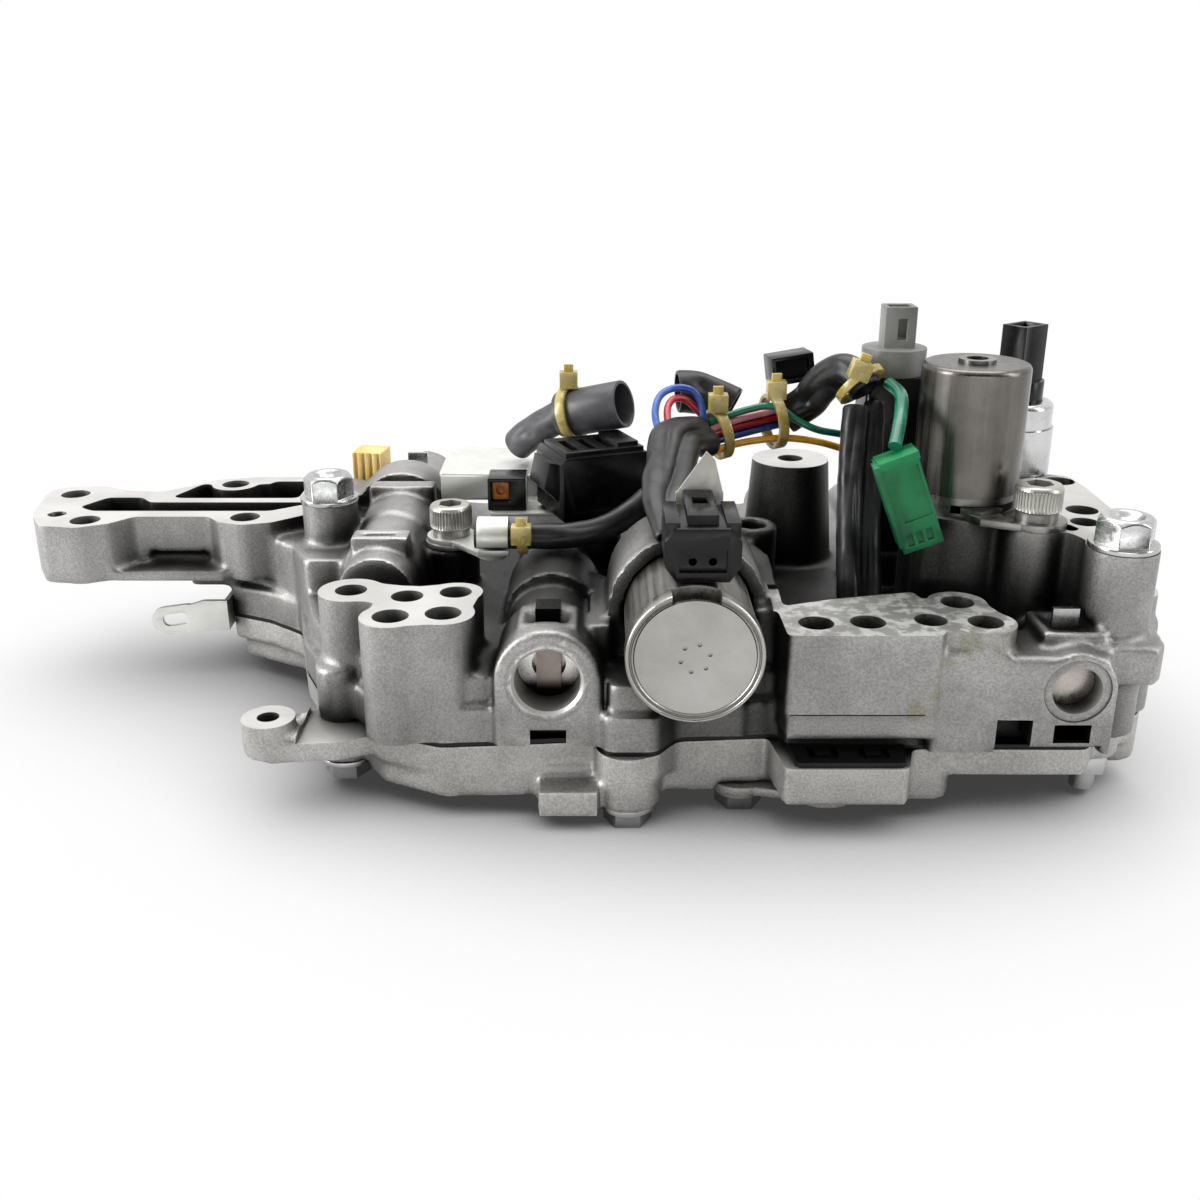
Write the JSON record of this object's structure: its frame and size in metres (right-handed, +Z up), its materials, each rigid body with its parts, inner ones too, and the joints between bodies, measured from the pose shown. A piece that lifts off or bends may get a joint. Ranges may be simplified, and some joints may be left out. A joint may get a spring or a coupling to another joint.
{
  "type": "transmission valve body",
  "caption": "Hydraulic control unit of an automatic gearbox: two castings clamped on a separator plate, with spool valves, solenoids, harness and connectors.",
  "frame": {"origin": "on the surface that the bottom bolt heads stand on, below the middle of the envelope", "axes": "+X along the long side from the arm to the tall solenoid end, +Y from the face where the front bores open to the rear, +Z up"},
  "size_m": [0.301, 0.164, 0.1106],
  "materials": {
    "cast_aluminium_upper": "sand grained die casting",
    "cast_aluminium_lower": "sand grained die casting",
    "black_plate": "black oxide",
    "ground_steel": "ground",
    "spring_steel": "drawn wire",
    "keeper_steel": "stamped",
    "black_keeper": "black oxide",
    "satin_can": "satin",
    "zinc_plated": "zinc plated",
    "dark_steel": "plain",
    "black_nylon": "moulded",
    "grey_nylon": "moulded",
    "green_nylon": "moulded",
    "cream_nylon": "moulded",
    "amber_nylon": "moulded",
    "yellowed_nylon": "moulded",
    "black_sleeve": "soft vinyl",
    "green_wire_vinyl": "vinyl",
    "red_vinyl": "vinyl",
    "pink_vinyl": "vinyl",
    "blue_vinyl": "vinyl",
    "yellow_vinyl": "vinyl"
  },
  "bodies": {
    "valve_body": {"upper_body": "cast_aluminium_upper", "lower_body": "cast_aluminium_lower", "bottom_cover": "cast_aluminium_lower", "separator_plate": "black_plate", "front_plug": "ground_steel", "right_plug": "ground_steel", "left_plug": "ground_steel", "dowel_pins": "ground_steel", "front_spring": "spring_steel", "right_spring": "spring_steel", "left_spring": "spring_steel", "right_clip": "keeper_steel", "left_clip": "keeper_steel", "front_clip": "black_keeper", "front_solenoid_can": "satin_can", "front_solenoid_disc": "satin_can", "tall_solenoid_can": "satin_can", "rear_solenoid_can": "zinc_plated", "flange_bolts": "zinc_plated", "stud": "zinc_plated", "stud_nut": "zinc_plated", "left_tab": "zinc_plated", "sheet_cover": "zinc_plated", "wire_clip": "zinc_plated", "front_latch_sheet": "zinc_plated", "tall_solenoid_core": "dark_steel", "front_solenoid_nozzle": "dark_steel", "solenoid_bracket": "dark_steel", "cap_screws": "dark_steel", "cap_screw_washer": "dark_steel", "bottom_bolts": "dark_steel", "main_connector": "black_nylon", "front_solenoid_connector": "black_nylon", "rear_solenoid_connector": "black_nylon", "coil_body": "black_nylon", "small_connector": "black_nylon", "coil_connector_cap": "grey_nylon", "terminal_holder": "grey_nylon", "green_connector": "green_nylon", "cream_connector": "cream_nylon", "amber_terminal": "amber_nylon", "cable_ties": "yellowed_nylon", "open_sleeve": "black_sleeve", "left_sleeve": "black_sleeve", "front_sleeve": "black_sleeve", "wire_boot": "black_sleeve", "clip_sleeve": "black_sleeve", "loop_sleeve": "black_sleeve", "sleeve_front_run": "black_sleeve", "sleeve_rear_run": "black_sleeve", "green_wire": "green_wire_vinyl", "green_lead": "green_wire_vinyl", "red_wire": "red_vinyl", "pink_wire": "pink_vinyl", "blue_wire": "blue_vinyl", "yellow_wire": "yellow_vinyl"},
    "front_valve": {"front_spool": "ground_steel"},
    "right_valve": {"right_spool": "ground_steel"},
    "left_valve": {"left_spool": "ground_steel"},
    "selector_valve": {"manual_valve": "ground_steel"}
  },
  "joints": [
    {"name": "front_valve_slide", "type": "slide", "parent": "valve_body", "child": "front_valve", "axis": [0, -1, 0], "range_m": [0, 0.005], "stiffness_N_per_m": 300, "springref_m": -0.006, "deforming": ["front_spring"]},
    {"name": "right_valve_slide", "type": "slide", "parent": "valve_body", "child": "right_valve", "axis": [0, -1, 0], "range_m": [0, 0.004], "stiffness_N_per_m": 300, "springref_m": -0.005, "deforming": ["right_spring"]},
    {"name": "left_valve_slide", "type": "slide", "parent": "valve_body", "child": "left_valve", "axis": [0, 1, 0], "range_m": [0, 0.005], "stiffness_N_per_m": 300, "springref_m": -0.006, "deforming": ["left_spring"]},
    {"name": "selector_slide", "type": "slide", "parent": "valve_body", "child": "selector_valve", "axis": [0, 1, 0], "range_m": [-0.004, 0.002]}
  ]
}
